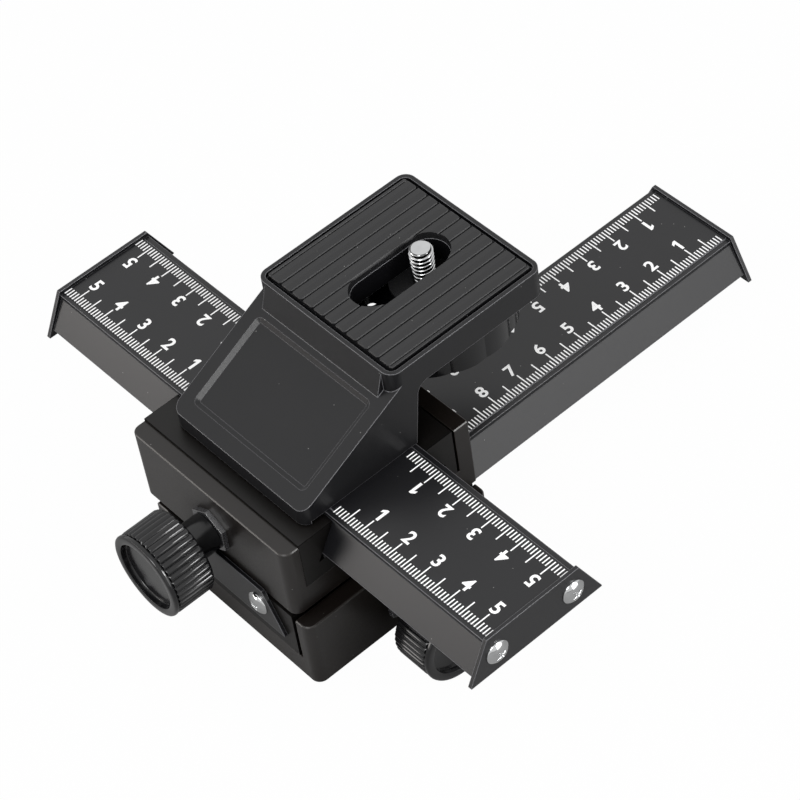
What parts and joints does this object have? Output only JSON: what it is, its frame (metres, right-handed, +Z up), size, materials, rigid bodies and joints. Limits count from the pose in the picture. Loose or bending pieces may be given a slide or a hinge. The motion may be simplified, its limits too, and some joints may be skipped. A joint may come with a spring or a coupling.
{
  "type": "macro focusing rail",
  "caption": "Two-axis macro focusing rail: two crossed dovetail rails with rack drives and knobs, a ribbed camera platform with a slotted screw, and tripod sockets.",
  "frame": {"origin": "centre of the lower slide unit's footprint, on its underside", "axes": "+Z up, +Y along the long rail towards its far end, +X towards the lower knob"},
  "size_m": [0.1652, 0.1836, 0.0794],
  "materials": {
    "cast_black": "satin black powder coat on cast alloy",
    "anodised_black": "satin black anodised",
    "black_screws": "blackened steel",
    "bright_screws": "nickel plated",
    "steel": "ground steel",
    "brass": "turned brass",
    "knob_plastic": "moulded black, satin ribs",
    "acetal": "natural acetal",
    "rubber": "matt ribbed rubber"
  },
  "bodies": {
    "base": {"base_housing": "cast_black", "tripod_bush_small": "steel", "tripod_bush_large": "steel", "y_saddle": "cast_black", "y_glide_strips": "acetal", "y_saddle_screws": "black_screws", "y_hex_bush": "black_screws", "y_far_bush": "brass", "y_lock_pad": "brass"},
    "y_drive": {"y_shaft": "steel", "y_pinion": "brass", "y_pinion_pin": "steel", "y_knob": "knob_plastic"},
    "y_lock": {"y_lock_screw": "black_screws"},
    "y_carriage": {"y_rail": "anodised_black", "y_rack": "steel", "y_plate_front": "anodised_black", "y_plate_rear": "anodised_black", "y_plate_screws": "bright_screws", "y_rail_screws": "black_screws", "middle_housing": "cast_black", "x_saddle": "cast_black", "x_glide_strips": "acetal", "x_saddle_screws": "black_screws", "x_hex_bush": "black_screws", "x_far_bush": "brass", "x_lock_pad": "brass"},
    "x_drive": {"x_shaft": "steel", "x_pinion": "brass", "x_pinion_pin": "steel", "x_knob": "knob_plastic"},
    "x_lock": {"x_lock_screw": "black_screws"},
    "x_carriage": {"x_rail": "anodised_black", "x_rack": "steel", "x_plate_left": "anodised_black", "x_plate_right": "anodised_black", "x_plate_screws": "bright_screws", "tower_screws": "black_screws", "tower": "cast_black", "rubber_pad": "rubber"},
    "screw_slide": {"screw_washer": "steel"},
    "screw_turn": {"camera_screw": "bright_screws", "screw_wheel": "knob_plastic", "screw_clip": "steel"}
  },
  "joints": [
    {"name": "y_slide", "type": "slide", "parent": "base", "child": "y_carriage", "axis": [0, 1, 0], "range_m": [-0.1008, 0]},
    {"name": "x_slide", "type": "slide", "parent": "y_carriage", "child": "x_carriage", "axis": [1, 0, 0], "range_m": [-0.0527, 0.0481]},
    {"name": "y_knob_turn", "type": "hinge", "parent": "base", "child": "y_drive", "pos_m": [0, 0, 0.009], "axis": [1, 0, 0], "range_deg": [-5, 1380]},
    {"name": "x_knob_turn", "type": "hinge", "parent": "y_carriage", "child": "x_drive", "pos_m": [-0.0039, 0, 0.0332], "axis": [0, -1, 0], "range_deg": [-665, 725]},
    {"name": "y_lock_turn", "type": "hinge", "parent": "base", "child": "y_lock", "pos_m": [-0.0293, -0.018, 0.0177], "axis": [-1, 0, 0], "range_deg": [-15, 270]},
    {"name": "x_lock_turn", "type": "hinge", "parent": "y_carriage", "child": "x_lock", "pos_m": [-0.0219, 0.0293, 0.0419], "axis": [0, 1, 0], "range_deg": [-15, 270]},
    {"name": "camera_screw_slide", "type": "slide", "parent": "x_carriage", "child": "screw_slide", "axis": [0, 1, 0], "range_m": [-0.0135, 0.0042]},
    {"name": "camera_screw_turn", "type": "hinge", "parent": "screw_slide", "child": "screw_turn", "pos_m": [-0.0016, 0.0425, 0.0579], "axis": [0, 0, 1], "continuous": true}
  ],
  "couplings": [
    {"joint": "y_knob_turn", "follows": "y_slide", "rad_per_m": -238.1},
    {"joint": "x_knob_turn", "follows": "x_slide", "rad_per_m": -238.1}
  ]
}
